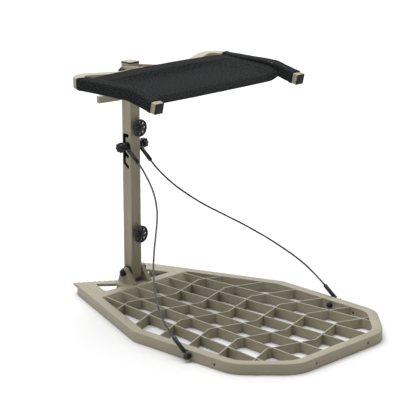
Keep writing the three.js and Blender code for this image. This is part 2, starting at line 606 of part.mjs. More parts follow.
function armSleeve(side) {
  const front = block([-400, 400], [-400, SLEEVE_Y[0]], [400, 700]);
  return cut(
    clothTube(side, CLOTH_OUTSIDE, SLEEVE_Y[1]), clothTube(side, CLOTH_ROOM, SLEEVE_Y[1] + 5), solid(front));
}

function sling() {
  const bottom = SLING_TOP.map(([y, z]) => [y, z - CLOTH - 0.8]).reverse();
  const edge = ARM_X - CLOTH_OUTSIDE / 2 - 0.3 - GAP;
  const sheet = cheek([...SLING_TOP, ...bottom].reverse(), [-edge, edge]);
  return cut(solid(sheet), frameTube(ARM + 2 * GAP, 0));
}

for (const [side, name] of SIDES) add(`${name}_arm_sleeve`, armSleeve(side), cloth());
add('seat_sling', sling(), cloth());

export default part;
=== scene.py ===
# %% [markdown]
# # A hang-on tree stand
# The stand is a ribbed cast platform, a square post that folds down onto it, two support cables
# and a sling seat that flips up. The measured solids come in as a fixed frame. Everything below
# gives them their finish: rounded edges, cloth, wire and paint.
# Lengths in this lesson are typed in millimetres and turned into metres by `mm`, because the
# drawings of the stand are in millimetres and Blender's own unit is the metre.

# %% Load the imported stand
import bpy
import bmesh
import json
import math
from mathutils import Matrix, Vector, noise
from mathutils.geometry import intersect_line_line_2d

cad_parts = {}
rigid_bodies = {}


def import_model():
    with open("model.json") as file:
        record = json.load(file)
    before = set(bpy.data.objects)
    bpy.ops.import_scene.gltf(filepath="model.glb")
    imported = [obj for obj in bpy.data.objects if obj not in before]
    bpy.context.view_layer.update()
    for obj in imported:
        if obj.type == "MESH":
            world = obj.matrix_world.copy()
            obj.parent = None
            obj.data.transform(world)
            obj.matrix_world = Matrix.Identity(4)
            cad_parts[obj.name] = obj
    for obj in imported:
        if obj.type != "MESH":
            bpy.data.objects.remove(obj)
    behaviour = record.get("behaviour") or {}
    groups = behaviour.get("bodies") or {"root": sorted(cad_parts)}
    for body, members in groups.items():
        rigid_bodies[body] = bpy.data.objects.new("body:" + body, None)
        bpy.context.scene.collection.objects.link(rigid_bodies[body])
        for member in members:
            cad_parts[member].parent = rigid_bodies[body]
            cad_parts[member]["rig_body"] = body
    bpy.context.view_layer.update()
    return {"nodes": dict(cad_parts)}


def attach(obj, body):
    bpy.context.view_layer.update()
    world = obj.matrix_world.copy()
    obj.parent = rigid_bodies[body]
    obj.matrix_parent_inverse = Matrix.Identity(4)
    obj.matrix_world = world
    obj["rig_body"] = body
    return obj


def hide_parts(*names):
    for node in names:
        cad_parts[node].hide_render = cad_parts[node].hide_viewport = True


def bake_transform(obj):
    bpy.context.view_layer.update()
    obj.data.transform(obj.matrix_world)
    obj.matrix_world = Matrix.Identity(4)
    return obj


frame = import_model()
solids = frame["nodes"]
scene = bpy.context.scene


def mm(*values):
    """Millimetres to metres: a point from three values, a length from one."""
    return Vector(values) * 0.001 if len(values) > 1 else values[0] * 0.001


print("solids in the frame:", len(solids))

# %% [markdown]
# ## Camera
# A catalogue picture of something half a metre tall is taken from a few metres away with a long
# lens, so that parallel beams stay nearly parallel. A 141 mm lens from 3.9 m does that here.
# A camera looks along its own -Z, so its +Z is pointed away from the stand.

# %% Place the camera
camera = bpy.data.objects.new("camera", bpy.data.cameras.new("camera"))
camera.data.lens = 141.39
camera.data.sensor_width = 36
away = Vector((-0.68654, -0.67481, 0.27074))
camera.matrix_world = Matrix.Translation(mm(-2680.3, -2602.0, 1324.9)) @ away.to_track_quat(
    "Z", "Y").to_matrix().to_4x4()
scene.collection.objects.link(camera)
scene.camera = camera
print("camera distance to the stand:", round((camera.location - Vector((0, 0, 0.3))).length, 2), "m")

# %% [markdown]
# ## Small tools for node trees
# Every node tree in this lesson is written with two helpers. `put` adds a node and takes its
# inputs by name: a plain value is typed in, and another node's output is linked. `new_tree`
# makes a Geometry Nodes tree whose sizes are named inputs, so that the modifier shows them.

# %% Helpers for node trees
def put(tree, kind, inputs=None, **settings):
    """Adds a node to a tree. inputs maps a socket's name or number to a value or an output."""
    node = tree.nodes.new(kind)
    for name, value in settings.items():
        setattr(node, name, value)
    for name, value in (inputs or {}).items():
        socket = node.inputs[name]
        if isinstance(value, bpy.types.NodeSocket):
            tree.links.new(value, socket)
        else:
            socket.default_value = value
    return node


def new_tree(name, sizes):
    """A Geometry Nodes tree with a Geometry input and one named input for each size."""
    tree = bpy.data.node_groups.new(name, "GeometryNodeTree")
    tree.interface.new_socket("Geometry", in_out="INPUT", socket_type="NodeSocketGeometry")
    for label, value in sizes.items():
        kind = "NodeSocketInt" if isinstance(value, int) else "NodeSocketFloat"
        tree.interface.new_socket(label, in_out="INPUT", socket_type=kind).default_value = value
    tree.interface.new_socket("Geometry", in_out="OUTPUT", socket_type="NodeSocketGeometry")
    return tree, tree.nodes.new("NodeGroupInput").outputs


def close_tree(tree, geometry, material):
    """Ends a tree in Realize Instances and Set Material."""
    real = put(tree, "GeometryNodeRealizeInstances", {0: geometry})
    painted = put(tree, "GeometryNodeSetMaterial", {"Geometry": real.outputs[0], "Material": material})
    put(tree, "NodeGroupOutput", {0: painted.outputs[0]})


def grow(tree, name, body, start=None, **sizes):
    """Runs a tree on a start mesh and keeps the result as a plain mesh that rides on a body."""
    seed = bpy.data.objects.new(name + "_seed", start or bpy.data.meshes.new(name + "_seed"))
    scene.collection.objects.link(seed)
    modifier = seed.modifiers.new("grow", "NODES")
    modifier.node_group = tree
    for item in tree.interface.items_tree:
        label = item.name.replace(" ", "_").lower()
        if item.in_out == "INPUT" and label in sizes:
            modifier[item.identifier] = sizes[label]
    bpy.context.view_layer.update()
    evaluated = seed.evaluated_get(bpy.context.evaluated_depsgraph_get())
    piece = bpy.data.objects.new(name, bpy.data.meshes.new_from_object(evaluated))
    scene.collection.objects.link(piece)
    bpy.data.objects.remove(seed)
    if body:
        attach(piece, body)
    print(name, "has", len(piece.data.polygons), "faces")
    return piece


def polylines(name, paths):
    """A mesh of bare edges, one open chain for each path."""
    points, edges = [], []
    for path in paths:
        edges += [(len(points) + i, len(points) + i + 1) for i in range(len(path) - 1)]
        points += [tuple(p) for p in path]
    mesh = bpy.data.meshes.new(name)
    mesh.from_pydata(points, edges, [])
    return mesh


def smooth_shade(mesh, degrees=32):
    """Smooth shading, with the edges sharper than the angle kept crisp."""
    mesh.shade_smooth()
    mesh.set_sharp_from_angle(angle=math.radians(degrees))

# %% [markdown]
# ## Finishes
# A finish is a colour, a roughness and a bump, each broken up a little, because no real surface
# is even. Two effects are used by several finishes, so each is a shader node group with its own
# inputs: `speckle` is the fine orange-peel of powder coat and moulded plastic, and `weave` is
# the over-and-under of threads. Amounts that don't vary over the surface are typed straight into
# the Principled shader.

# %% The speckle group
def shader_group(name, inputs, outputs):
    """A shader node group with float inputs and the outputs named."""
    tree = bpy.data.node_groups.new(name, "ShaderNodeTree")
    for label, value in inputs.items():
        tree.interface.new_socket(label, in_out="INPUT", socket_type="NodeSocketFloat").default_value = value
    for label, kind in outputs.items():
        tree.interface.new_socket(label, in_out="OUTPUT", socket_type=kind)
    return tree, tree.nodes.new("NodeGroupInput").outputs


def make_speckle():
    tree, given = shader_group(
        "speckle", {"Grain Scale": 700.0, "Cloud Scale": 9.0, "Bump": 0.2},
        {"Cloud": "NodeSocketFloat", "Grain": "NodeSocketFloat", "Normal": "NodeSocketVector"})
    place = put(tree, "ShaderNodeTexCoord").outputs["Object"]
    grain = put(tree, "ShaderNodeTexNoise", {
        "Vector": place, "Scale": given["Grain Scale"], "Detail": 2.0, "Roughness": 0.6})
    cloud = put(tree, "ShaderNodeTexNoise", {
        "Vector": place, "Scale": given["Cloud Scale"], "Detail": 4.0, "Roughness": 0.65})
    bump = put(tree, "ShaderNodeBump", {
        "Height": grain.outputs["Fac"], "Strength": given["Bump"], "Distance": 0.0004})
    put(tree, "NodeGroupOutput", {
        "Cloud": cloud.outputs["Fac"], "Grain": grain.outputs["Fac"], "Normal": bump.outputs[0]})
    return tree


def make_weave():
    tree, given = shader_group(
        "weave", {"Threads": 800.0, "Bump": 0.6},
        {"Thread": "NodeSocketFloat", "Slub": "NodeSocketFloat", "Normal": "NodeSocketVector"})
    place = put(tree, "ShaderNodeTexCoord").outputs["UV"]
    scaled = put(tree, "ShaderNodeVectorMath", {0: place, "Scale": given["Threads"]}, operation="SCALE")
    axes = put(tree, "ShaderNodeSeparateXYZ", {0: scaled.outputs[0]})
    waves = []
    for axis in ("X", "Y"):
        turn = put(tree, "ShaderNodeMath", {0: axes.outputs[axis], 1: math.pi}, operation="MULTIPLY")
        waves.append(put(tree, "ShaderNodeMath", {0: turn.outputs[0]}, operation="SINE").outputs[0])
    cross = put(tree, "ShaderNodeMath", {0: waves[0], 1: waves[1]}, operation="MULTIPLY")
    height = put(tree, "ShaderNodeMath", {0: cross.outputs[0]}, operation="ABSOLUTE")
    slub = put(tree, "ShaderNodeTexNoise", {"Vector": scaled.outputs[0], "Scale": 0.45, "Detail": 3.0})
    mixed = put(tree, "ShaderNodeMath", {
        0: slub.outputs["Fac"], 1: 1.4, 2: height.outputs[0]}, operation="MULTIPLY_ADD")
    bump = put(tree, "ShaderNodeBump", {
        "Height": mixed.outputs[0], "Strength": given["Bump"], "Distance": 0.0005})
    put(tree, "NodeGroupOutput", {
        "Thread": height.outputs[0], "Slub": slub.outputs["Fac"], "Normal": bump.outputs[0]})
    return tree


speckle = make_speckle()
weave = make_weave()
print("groups:", speckle.name, weave.name)

# %% [markdown]
# Every finish is the same small recipe: a group gives a pattern, a colour ramp turns the pattern
# into two close shades, a second ramp turns it into a roughness, and the group's normal gives
# the bump. Only the numbers differ, so one function makes them all.

# %% The finishes
def finish(name, pattern, shades, roughness, source="Cloud", spread=(0.35, 0.65), dials=None, **fixed):
    """A procedural finish. shades are two linear colours, roughness is a low and a high value."""
    material = bpy.data.materials.new(name)
    material.use_nodes = True
    tree = material.node_tree
    shader = tree.nodes["Principled BSDF"]
    group = put(tree, "ShaderNodeGroup", node_tree=pattern)
    for label, value in (dials or {}).items():
        group.inputs[label].default_value = value
    ramp = put(tree, "ShaderNodeValToRGB", {0: group.outputs[source]})
    for element, position, shade in zip(ramp.color_ramp.elements, spread, shades):
        element.position = position
        element.color = (*shade, 1)
    tree.links.new(ramp.outputs[0], shader.inputs["Base Color"])
    gloss = put(tree, "ShaderNodeMapRange", {
        "Value": group.outputs[source], "To Min": roughness[0], "To Max": roughness[1]})
    tree.links.new(gloss.outputs[0], shader.inputs["Roughness"])
    tree.links.new(group.outputs["Normal"], shader.inputs["Normal"])
    for label, value in fixed.items():
        shader.inputs[label.replace("_", " ")].default_value = value
    return material


khaki = finish("khaki_powder_coat", speckle, [(0.266, 0.239, 0.168), (0.294, 0.265, 0.189)], (0.48, 0.6))
# A lighter khaki for bevel faces and rib tops: a painted highlight where edges and tops catch the light.
khaki_highlight = finish("khaki_worn_edge", speckle, [(0.335, 0.308, 0.232), (0.385, 0.358, 0.274)], (0.42, 0.55))
webbing = finish("seat_cloth", weave, [(0.009, 0.0093, 0.0096), (0.036, 0.037, 0.038)], (0.85, 0.98),
                 source="Slub", spread=(0.40, 0.66), dials={"Threads": 620.0, "Bump": 0.8},
                 Sheen_Weight=0.02, Sheen_Roughness=0.4, Specular_IOR_Level=0.02)
thread = finish("stitch_thread", speckle, [(0.035, 0.035, 0.036), (0.06, 0.06, 0.062)], (0.7, 0.85))
dark_inside = finish("unlit_tube_inside", speckle, [(0.004, 0.004, 0.004), (0.007, 0.007, 0.007)], (0.85, 0.95),
                     Specular_IOR_Level=0.1)
moulded = finish("black_moulding", speckle, [(0.0065, 0.0067, 0.007), (0.013, 0.0133, 0.014)], (0.3, 0.42),
                 dials={"Grain Scale": 1500.0, "Bump": 0.12}, Specular_IOR_Level=0.35)
# A greyer black for the bevel faces of the mouldings: a painted highlight on their edges.
moulded_highlight = finish("black_moulding_edge", speckle, [(0.018, 0.0185, 0.0195), (0.034, 0.0345, 0.036)],
                      (0.32, 0.46),
                      Specular_IOR_Level=0.4)
blackened = finish("blackened_steel", speckle, [(0.012, 0.012, 0.013), (0.024, 0.024, 0.026)], (0.28, 0.42),
                   dials={"Grain Scale": 2600.0, "Bump": 0.08}, Metallic=0.5)
grey_cap = finish("grey_end_cap", speckle, [(0.008, 0.0083, 0.009), (0.014, 0.0144, 0.0154)], (0.55, 0.7),
                  Specular_IOR_Level=0.3)
jacket = finish("cable_jacket", speckle, [(0.026, 0.027, 0.029), (0.048, 0.05, 0.053)], (0.24, 0.34),
                dials={"Grain Scale": 3000.0, "Cloud Scale": 60.0, "Bump": 0.05}, Coat_Weight=0.3)
print("finishes:", len(bpy.data.materials))

# %% [markdown]
# ## Support cables
# Each cable is 5 mm wire rope in a clear jacket, crimped into a black sleeve at both ends.
# It is springy, so between the levelling bolt and the anchor bolt it stands in a lazy S.
# The route is a list of points; a curve through them with even speed between its points
# (centripetal Catmull-Rom) keeps it free of loops. Geometry Nodes then sweep a section with six
# soft lobes along it and turn it as it goes, which is what a laid wire rope looks like.

# %% The route of a cable
LEVEL_BOLT = (296, 378)
ANCHOR_BOLT = (-161, 13.5)
EYE_X = (21.4, 261.4)
CABLE_WIDTH = 5.0
UPPER_WAY = (-0.783, -0.622)
LOWER_WAY = (0.804, 0.595)
CABLE_ROUTE = [
    (22, 236, 330), (25.5, 220, 317), (30, 203, 304), (37, 185, 290), (46, 168, 277.5),
    (57, 152, 265), (72, 133, 250), (90, 115, 235.5), (110, 97, 221), (131, 78.5, 206),
    (151, 61, 191.5), (171, 42.5, 175.5), (190, 23.5, 159.5), (207, 4.5, 143.5),
    (222.5, -14.5, 127.5), (236.5, -34.5, 111), (248.5, -57, 93), (257, -80, 73.5)]


def on_way(x, bolt, way, distance):
    """A point at a distance from a bolt along the straight start of the cable."""
    return (x, bolt[0] + way[0] * distance, bolt[1] + way[1] * distance)


def catmull_rom(points, steps):
    """A smooth curve through points, with `steps` stations in each span."""
    points = [Vector(p) for p in points]
    points = [points[0] * 2 - points[1]] + points + [points[-1] * 2 - points[-2]]
    curve = []
    for a, b, c, d in zip(points, points[1:], points[2:], points[3:]):
        knots = [0.0]
        for p, q in ((a, b), (b, c), (c, d)):
            knots.append(knots[-1] + (q - p).length ** 0.5)
        t0, t1, t2, t3 = knots
        for i in range(steps):
            t = t1 + (t2 - t1) * i / steps
            ab = a * ((t1 - t) / (t1 - t0)) + b * ((t - t0) / (t1 - t0))
            bc = b * ((t2 - t) / (t2 - t1)) + c * ((t - t1) / (t2 - t1))
            cd = c * ((t3 - t) / (t3 - t2)) + d * ((t - t2) / (t3 - t2))
            abc = ab * ((t2 - t) / (t2 - t0)) + bc * ((t - t0) / (t2 - t0))
            bcd = bc * ((t3 - t) / (t3 - t1)) + cd * ((t - t1) / (t3 - t1))
            curve.append(abc * ((t2 - t) / (t2 - t1)) + bcd * ((t - t1) / (t2 - t1)))
    return curve + [points[-2]]


def cable_path(side):
    """The whole cable, from the lower eye up to the upper eye, in metres."""
    upper = [on_way(EYE_X[0], LEVEL_BOLT, UPPER_WAY, d) for d in (14, 30, 46, 60)]
    lower = [on_way(EYE_X[1], ANCHOR_BOLT, LOWER_WAY, d) for d in (60, 46, 30, 14)]
    points = [mm(side * x, y, z) for x, y, z in upper + CABLE_ROUTE + lower]
    return catmull_rom(points, 6)[::-1]


SIDES = ((-1, "left"), (1, "right"))
cable_lines = {name: cable_path(side) for side, name in SIDES}

# %% The wire rope tree
def wire_rope_tree():
    tree, given = new_tree("wire_rope", {
        "Width": mm(CABLE_WIDTH), "Lay Length": mm(26.0), "Lobe Depth": 0.05, "Round Points": 36})
    path = put(tree, "GeometryNodeMeshToCurve", {0: given["Geometry"]})
    along = put(tree, "GeometryNodeSplineParameter")
    turns = put(tree, "ShaderNodeMath",
                {0: along.outputs["Length"], 1: given["Lay Length"]}, operation="DIVIDE")
    tilt = put(tree, "ShaderNodeMath", {0: turns.outputs[0], 1: 2 * math.pi}, operation="MULTIPLY")
    laid = put(tree, "GeometryNodeSetCurveTilt", {"Curve": path.outputs[0], "Tilt": tilt.outputs[0]})
    radius = put(tree, "ShaderNodeMath", {0: given["Width"], 1: 0.5}, operation="MULTIPLY")
    ring = put(tree, "GeometryNodeCurvePrimitiveCircle", {
        "Resolution": given["Round Points"], "Radius": radius.outputs[0]})
    place = put(tree, "GeometryNodeInputPosition").outputs[0]
    split = put(tree, "ShaderNodeSeparateXYZ", {0: place})
    angle = put(tree, "ShaderNodeMath", {0: split.outputs[1], 1: split.outputs[0]}, operation="ARCTAN2")
    lobes = put(tree, "ShaderNodeMath", {0: angle.outputs[0], 1: 6.0}, operation="MULTIPLY")
    wave = put(tree, "ShaderNodeMath", {0: lobes.outputs[0]}, operation="COSINE")
    swell = put(tree, "ShaderNodeMath",
                {0: wave.outputs[0], 1: given["Lobe Depth"], 2: 0.97}, operation="MULTIPLY_ADD")
    moved = put(tree, "ShaderNodeVectorMath", {0: place, "Scale": swell.outputs[0]}, operation="SCALE")
    section = put(tree, "GeometryNodeSetPosition", {0: ring.outputs[0], "Position": moved.outputs[0]})
    rope = put(tree, "GeometryNodeCurveToMesh", {
        "Curve": laid.outputs[0], "Profile Curve": section.outputs[0], "Fill Caps": True})
    close_tree(tree, rope.outputs[0], jacket)
    return tree


wire_rope = wire_rope_tree()
for side, name in SIDES:
    line = cable_lines[name]
    cable = grow(wire_rope, name + "_wire_cable", None, polylines(name + "_line", [line]))
    smooth_shade(cable.data, 60)
    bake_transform(cable)
    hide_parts(name + "_cable")

# %% [markdown]
# ## Floor and light
# A pale floor that fills the view, one big soft light above, a weak one
# on each side, and one over the far floor. The face that
# looks at the camera gets the least light, so the post shows three clear tones.

# %% Floor
floor_mesh = bpy.data.meshes.new("studio_floor")
floor_mesh.from_pydata([(-14, -14, 0), (14, -14, 0), (14, 14, 0), (-14, 14, 0)], [], [(0, 1, 2, 3)])
studio_floor = bpy.data.objects.new("studio_floor", floor_mesh)
studio_floor.location.z = -0.0003
scene.collection.objects.link(studio_floor)
pale = bpy.data.materials.new("pale_floor")
pale.use_nodes = True
pale.node_tree.nodes["Principled BSDF"].inputs["Base Color"].default_value = (0.75, 0.75, 0.75, 1)
pale.node_tree.nodes["Principled BSDF"].inputs["Roughness"].default_value = 0.9
pale.node_tree.nodes["Principled BSDF"].inputs["Specular IOR Level"].default_value = 0.0
floor_mesh.materials.append(pale)

# %% Lights
def soft_light(name, place, size, power, target=(0, 0, 0.25)):
    """A square area light that faces the middle of the stand, or another target."""
    light = bpy.data.objects.new(name, bpy.data.lights.new(name, "AREA"))
    light.data.size = size
    light.data.energy = power
    light.location = place
    light.rotation_euler = (Vector(place) - Vector(target)).to_track_quat("Z", "Y").to_euler()
    scene.collection.objects.link(light)


soft_light("light_above", (0.3, 1.0, 4.4), 5.2, 350)
soft_light("light_left", (-3.4, 1.3, 1.5), 2.2, 30)
soft_light("light_front", (1.2, -4.2, 0.9), 2.6, 26)
soft_light("light_far_floor", (6.0, 6.5, 4.5), 6.0, 560, (6.5, 7.0, 0))
scene.world = bpy.data.worlds.new("studio")
scene.world.use_nodes = True
scene.world.node_tree.nodes["Background"].inputs[0].default_value = (1, 1, 1, 1)
scene.world.node_tree.nodes["Background"].inputs[1].default_value = 0.2
scene.view_settings.view_transform = "Standard"
print("lights:", len(bpy.data.lights))

# %% [markdown]
# ## Cast and machined parts
# The measured solids have knife edges and flat triangles. A real casting has rounded edges, and
# they catch the light. `soften` copies a solid, joins its flat triangles back into
# whole faces, and gives every sharp edge a small bevel. The bevel's own faces take a second
# material slot, a lighter shade that is a painted highlight, so it comes with the rounding and needs no
# painting by hand.

# %% Soften a solid's edges
def soften(node, width, paint, highlight_paint=None, degrees=34, steps=2):
    """A copy of a CAD solid with rounded edges, in its place and on its body."""
    mesh = solids[node].data.copy()
    form = bmesh.new()
    form.from_mesh(mesh)
    bmesh.ops.remove_doubles(form, verts=form.verts, dist=1e-6)
    bmesh.ops.dissolve_limit(form, angle_limit=math.radians(0.6), verts=form.verts, edges=form.edges)
    form.to_mesh(mesh)
    form.free()
    mesh.materials.clear()
    mesh.materials.append(paint)
    # Slot 1 holds the bevel faces. A lighter finish given here paints a highlight along the edges.
    mesh.materials.append(highlight_paint or paint)
    for face in mesh.polygons:
        face.material_index = 0
    rough = bpy.data.objects.new(node + "_rough", mesh)
    scene.collection.objects.link(rough)
    bevel = rough.modifiers.new("round the edges", "BEVEL")
    bevel.width = mm(width)
    bevel.segments = steps
    bevel.limit_method = "ANGLE"
    bevel.angle_limit = math.radians(degrees)
    bevel.material = 1
    bevel.miter_outer = "MITER_ARC"
    bevel.use_clamp_overlap = True
    evaluated = rough.evaluated_get(bpy.context.evaluated_depsgraph_get())
    piece = bpy.data.objects.new(node + "_finished", bpy.data.meshes.new_from_object(evaluated))
    scene.collection.objects.link(piece)
    bpy.data.objects.remove(rough)
    smooth_shade(piece.data, 40)
    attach(piece, solids[node]["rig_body"])
    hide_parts(node)
    return piece


def darken_inside(piece, reach):
    """Gives the faces inside the post's walls the finish of a tube that no light gets into."""
    piece.data.materials.append(dark_inside)
    for face in piece.data.polygons:
        away_from_axis = max(abs(face.center.x), abs(face.center.y - mm(299.5)))
        if away_from_axis < reach:
            face.material_index = 2


KHAKI_PARTS = {
    "platform_frame": 1.5, "left_tooth_plate": 1.0, "right_tooth_plate": 1.0,
    "post_tube": 0.5, "cap_plate": 0.3, "tree_bracket": 1.6, "seat_bracket": 1.2, "seat_frame": 2.6}
for part, width in KHAKI_PARTS.items():
    piece = soften(part, width, khaki, khaki_highlight)
    if part == "post_tube":
        darken_inside(piece, mm(13.8))
print("painted parts:", len(KHAKI_PARTS))

# %% [markdown]
# The black parts are softened the same way. Moulded ones get a greyer line on their bevelled edges,
# a painted highlight where the edges catch the light, and steel ones are darker and smoother.

# %% Black parts
MOULDED_PARTS = {"post_cap": 0.5}
STEEL_PARTS = {"levelling_bolt": 0.6, "bracket_bolt": 0.5, "bracket_nut": 0.5, "fold_bolt": 0.7,
               "fold_nut": 0.7,
               "seat_bolt": 0.7, "seat_nut": 0.7}
for button in ("lower", "upper"):
    MOULDED_PARTS[button + "_button_spacer"] = 0.4
    STEEL_PARTS[button + "_button_screw"] = 0.7
for side, name in SIDES:
    MOULDED_PARTS.update({
        name + "_knob_hub": 1.2, name + "_slot_washer": 0.4, name + "_fold_washer": 0.5,
        name + "_seat_washer": 0.5, name + "_upper_sleeve": 1.0, name + "_lower_sleeve": 1.0})
    STEEL_PARTS.update({
        name + "_upper_eye": 0.6, name + "_lower_eye": 0.6,
        name + "_anchor_bolt": 0.7, name + "_anchor_nut": 0.7})
# The mouldings' bevel faces take the greyer black, a painted highlight.
for part, width in MOULDED_PARTS.items():
    soften(part, width, moulded, moulded_highlight)
for part, width in STEEL_PARTS.items():
    soften(part, width, blackened)
for side, name in SIDES:
    soften(name + "_end_cap", 1.4, grey_cap)
print("black parts:", len(MOULDED_PARTS) + len(STEEL_PARTS))

# %% [markdown]
# ## Ribs of the platform
# Six ribs fan forward from the cross-beam and six more zigzag across them. They all share one
# section: a thin wall as deep as the platform with a softly rounded top. That is one rule, so
# Geometry Nodes make them: bare polylines come in, their bends are filleted, and the section is
# swept along. Each rib ends just inside the beam it is cast into.

# %% The rib tree
def rib_tree():
    tree, given = new_tree("cast_ribs", {
        "Wall": mm(3.2), "Depth": mm(24.2), "Bend Radius": mm(14.0), "Edge Radius": mm(1.1), "Bend Steps": 6})
    path = put(tree, "GeometryNodeMeshToCurve", {0: given["Geometry"]})
    bent = put(tree, "GeometryNodeFilletCurve", {
        0: path.outputs[0], "Radius": given["Bend Radius"], "Count": given["Bend Steps"]}, mode="POLY")
    upright = put(tree, "GeometryNodeSetCurveNormal", {0: bent.outputs[0]}, mode="Z_UP")
    flat = put(tree, "GeometryNodeCurvePrimitiveQuadrilateral", {
        "Width": given["Wall"], "Height": given["Depth"]})
    section = put(tree, "GeometryNodeFilletCurve", {
        0: flat.outputs[0], "Radius": given["Edge Radius"], "Count": 3}, mode="POLY")
    wall = put(tree, "GeometryNodeCurveToMesh", {
        "Curve": upright.outputs[0], "Profile Curve": section.outputs[0], "Fill Caps": True})
    close_tree(tree, wall.outputs[0], khaki)
    return tree


# %% Rib lines
WELL = [(-233.4, 27), (-147.5, 254.6), (147.5, 254.6), (233.4, 27), (234, 15), (227, -255), (217, -289),
        (157, -351), (114, -369.5), (-114, -369.5), (-157, -351), (-217, -289), (-227, -255), (-234, 15)]


def leaves_well(inner, outer):
    """Where the straight line from inner to outer meets the inside of the beam, and 1 mm more."""
    for a, b in zip(WELL, WELL[1:] + WELL[:1]):
        hit = intersect_line_line_2d(Vector(inner), Vector(outer), Vector(a), Vector(b))
        if hit:
            return tuple(hit + (Vector(outer) - Vector(inner)).normalized())
    return outer


def rib_lines():
    lines = []
    for rear, front in ((28.6, 39.6), (81.1, 113), (133.7, 190)):
        for side, _ in SIDES:
            ahead = (side * (front + (front - rear) * 0.1), -421.5)
            lines.append([(side * rear, 255.6), leaves_well((side * rear, 250), ahead)])
    for row in range(6):
        y = 147.6 - 92 * row
        peaks = [(-122.5, y + 38.5), (0, y), (122.5, y + 38.5)]
        ends = [leaves_well(peaks[i], (side * 250, y - 10.6)) for i, side in ((0, -1), (2, 1))]
        lines.append([ends[0], *peaks, ends[1]])
    return [[mm(x, y, 12.5) for x, y in line] for line in lines]


platform_walls = grow(rib_tree(), "platform_walls", "platform", polylines("rib_lines", rib_lines()))
# The tops of the ribs take the lighter khaki: a painted highlight where the light from above falls on them.
platform_walls.data.materials.append(khaki_highlight)
for face in platform_walls.data.polygons:
    if face.normal.z > 0.5:
        face.material_index = 1
smooth_shade(platform_walls.data, 40)
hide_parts("platform_ribs")

# %% [markdown]
# ## Strap buttons
# A strap is looped behind each of these discs. A disc is a thick wheel with a ring of holes
# round a raised hub. The holes are instances of one drill on a circle, and a boolean takes
# them out of the wheel; the rims of the holes are rounded afterwards like any other edge.

# %% The strap button tree
def strap_button_tree():
    tree, given = new_tree("strap_button", {
        "Wheel Radius": mm(22.0), "Thickness": mm(6.0), "Hole Radius": mm(3.3),
        "Ring Radius": mm(15.2), "Holes": 8})
    wheel = put(tree, "GeometryNodeMeshCylinder", {
        "Vertices": 64, "Radius": given["Wheel Radius"], "Depth": given["Thickness"]})
    drill = put(tree, "GeometryNodeMeshCylinder",
                {"Vertices": 20, "Radius": given["Hole Radius"], "Depth": 0.02})
    ring = put(tree, "GeometryNodeCurvePrimitiveCircle", {
        "Resolution": given["Holes"], "Radius": given["Ring Radius"]})
    drills = put(tree, "GeometryNodeInstanceOnPoints",
                 {"Points": ring.outputs[0], "Instance": drill.outputs[0]})
    real = put(tree, "GeometryNodeRealizeInstances", {0: drills.outputs[0]})
    wheel_cut = put(tree, "GeometryNodeMeshBoolean", operation="DIFFERENCE")
    tree.links.new(wheel.outputs[0], wheel_cut.inputs["Mesh 1"])
    tree.links.new(real.outputs[0], wheel_cut.inputs["Mesh 2"])
    close_tree(tree, wheel_cut.outputs[0], moulded)
    return tree


def ring_solid(name, profile, points, shape=None):
    """A turned solid about +Z. profile is (height, radius, share of the lobes) from base to top."""
    rings = []
    for height, radius, share in profile:
        ring = []
        for i in range(points):
            turn = 2 * math.pi * i / points
            reach = radius + (shape(turn) * share if shape else 0)
            ring.append(mm(reach * math.cos(turn), reach * math.sin(turn), height))
        rings.append(ring)
    return loft(name, rings)


def loft(name, rings, capped=True, closed=True):
    """A mesh through rings of points. Its UV map is in metres: along the rings, and round them."""
    count = len(rings[0])
    spans = count if closed else count - 1
    points = [p for ring in rings for p in ring]
    faces = [(i * count + j, i * count + (j + 1) % count, (i + 1) * count + (j + 1) % count,
             (i + 1) * count + j)
             for i in range(len(rings) - 1) for j in range(spans)]
    if capped:
        faces.append(tuple(reversed(range(count))))
        faces.append(tuple((len(rings) - 1) * count + j for j in range(count)))
    mesh = bpy.data.meshes.new(name)
    mesh.from_pydata([tuple(p) for p in points], [], faces)
    along, round_it = [0.0], [0.0]
    for i in range(1, len(rings)):
        along.append(along[-1] + max((a - b).length for a, b in zip(rings[i], rings[i - 1])))
    for j in range(count):
        middle = rings[len(rings) // 2]
        round_it.append(round_it[-1] + (middle[(j + 1) % count] - middle[j]).length)
    layer = mesh.uv_layers.new(name="cloth")
    for face in mesh.polygons:
        wraps = closed and {i % count for i in face.vertices} >= {0, count - 1}
        for corner, vertex in zip(face.loop_indices, face.vertices):
            j = vertex % count
            layer.data[corner].uv = (along[vertex // count], round_it[count if wraps and j == 0 else j])
    piece = bpy.data.objects.new(name, mesh)
    scene.collection.objects.link(piece)
    return piece


# %% Both strap buttons
def rounded(piece, width, steps=2, degrees=34):
    """Bevels a piece's sharp edges and applies the bevel."""
    bevel = piece.modifiers.new("round the edges", "BEVEL")
    bevel.width = mm(width)
    bevel.segments = steps
    bevel.angle_limit = math.radians(degrees)
    bevel.limit_method = "ANGLE"
    evaluated = piece.evaluated_get(bpy.context.evaluated_depsgraph_get())
    piece.data = bpy.data.meshes.new_from_object(evaluated)
    piece.modifiers.clear()
    smooth_shade(piece.data, 40)


button_tree = strap_button_tree()
for name, height in (("lower", 153.6), ("upper", 426.0)):
    wheel = grow(button_tree, name + "_strap_wheel", None)
    hub = ring_solid(name + "_strap_hub", [(2.6, 9.2, 0), (3.6, 8.8, 0), (4.2, 8.0, 0),
                     (4.2, 7.2, 0), (3.2, 6.9, 0)], 48)
    hub.data.materials.append(moulded)
    upright = Matrix.Translation(mm(0, 268, height)) @ Matrix.Rotation(math.radians(90), 4, "X")
    rounded(wheel, 0.8)
    for piece in (wheel, hub):
        piece.data.transform(upright)
        smooth_shade(piece.data, 40)
        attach(piece, "post")
    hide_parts(name + "_strap_button")

# %% [markdown]
# ## Star knobs
# A hand knob with seven lobes and a dished face. It is turned like a pot: a profile of rings,
# where the radius of every ring also swells seven times round. The lobes fade out towards the
# neck and the dish, which a plain extrusion of a star can't do.

